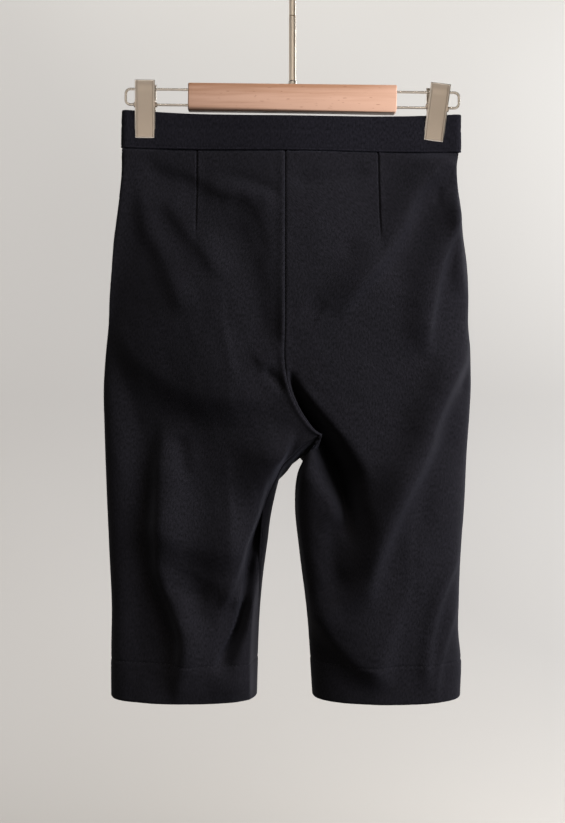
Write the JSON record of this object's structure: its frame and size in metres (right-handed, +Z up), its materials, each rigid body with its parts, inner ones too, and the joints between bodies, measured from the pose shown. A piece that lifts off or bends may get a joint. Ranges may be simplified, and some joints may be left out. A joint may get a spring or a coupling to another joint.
{
  "type": "capri pants on a clip hanger",
  "caption": "Plain black below-knee trousers with a straight waistband, hung flat at the waist from a wood and metal clip hanger; hems open, cloth folded by its own weight",
  "frame": {"origin": "the point at the inside top of the hook where it rests on a rail", "axes": "+X to the viewer's right, +Y away from the viewer (the back of the trousers), +Z up"},
  "size_m": [0.3592, 0.1159, 0.7476],
  "materials": {
    "cloth": "black stretch twill, matte",
    "beech": "satin, clear",
    "nickel": "satin nickel plate"
  },
  "bodies": {
    "root": {"front_left": "cloth", "front_right": "cloth", "back_left": "cloth", "back_right": "cloth", "waistband_front": "cloth", "waistband_back": "cloth", "hanger_bar": "beech", "wire_loop_left": "nickel", "wire_loop_right": "nickel", "stem": "nickel", "hook": "nickel", "clip_left_front_jaw": "nickel", "clip_left_back_jaw": "nickel", "clip_left_spring": "nickel", "clip_right_front_jaw": "nickel", "clip_right_back_jaw": "nickel", "clip_right_spring": "nickel"}
  },
  "joints": []
}
